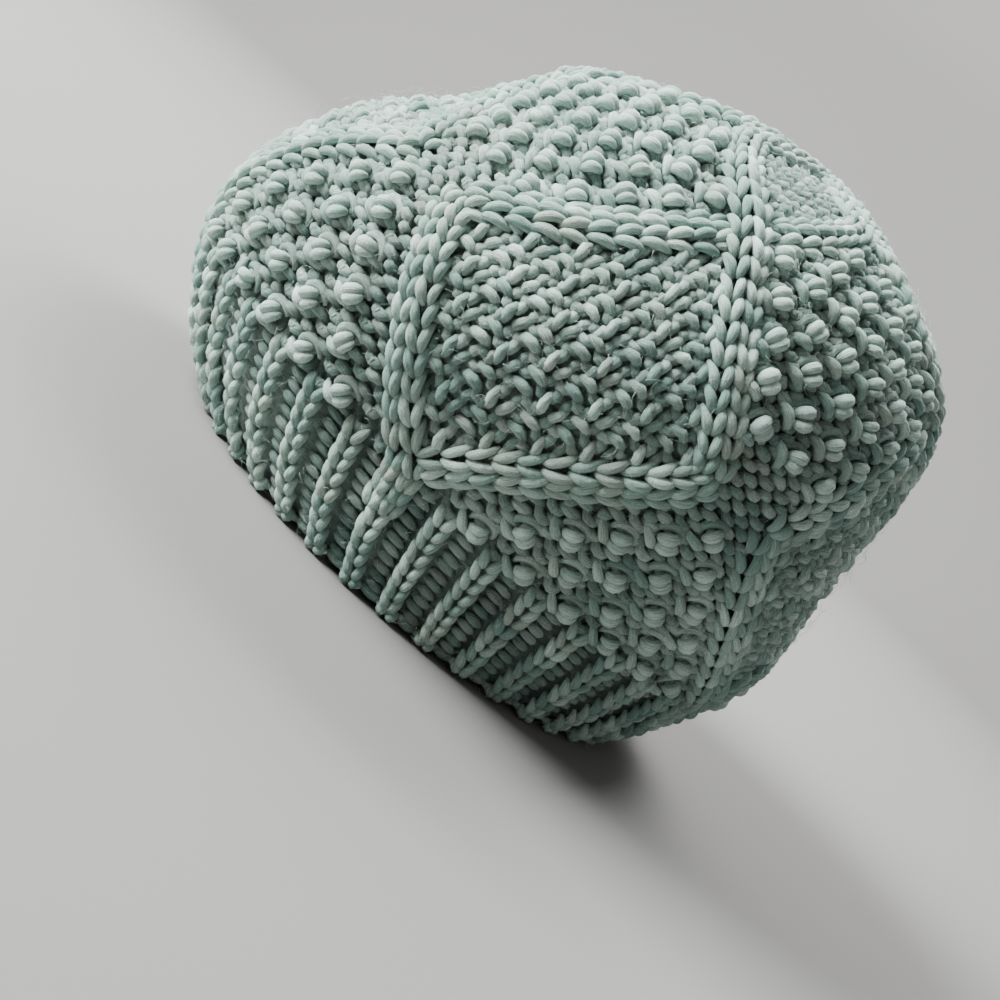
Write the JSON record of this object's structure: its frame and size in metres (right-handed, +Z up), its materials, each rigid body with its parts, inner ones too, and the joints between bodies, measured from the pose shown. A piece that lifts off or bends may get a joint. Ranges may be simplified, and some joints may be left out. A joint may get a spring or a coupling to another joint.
{
  "type": "tam o shanter",
  "caption": "Slouchy hand-knitted tam with a ribbed brim, framed textured diamonds, rows of bobbles between them and a gathered, closed crown",
  "frame": {"origin": "on the floor under the middle of the bounding box, at the rim's underside", "axes": "+Z up from the rim to the closed crown, -Y towards the forehead side, +X towards the wearer's left"},
  "size_m": [0.2456, 0.2644, 0.2031],
  "materials": {
    "wool_yarn": "fuzzy single-ply wool, kettle-dyed grey green"
  },
  "bodies": {
    "root": {"ribbed_brim": "wool_yarn", "crown": "wool_yarn"}
  },
  "joints": []
}
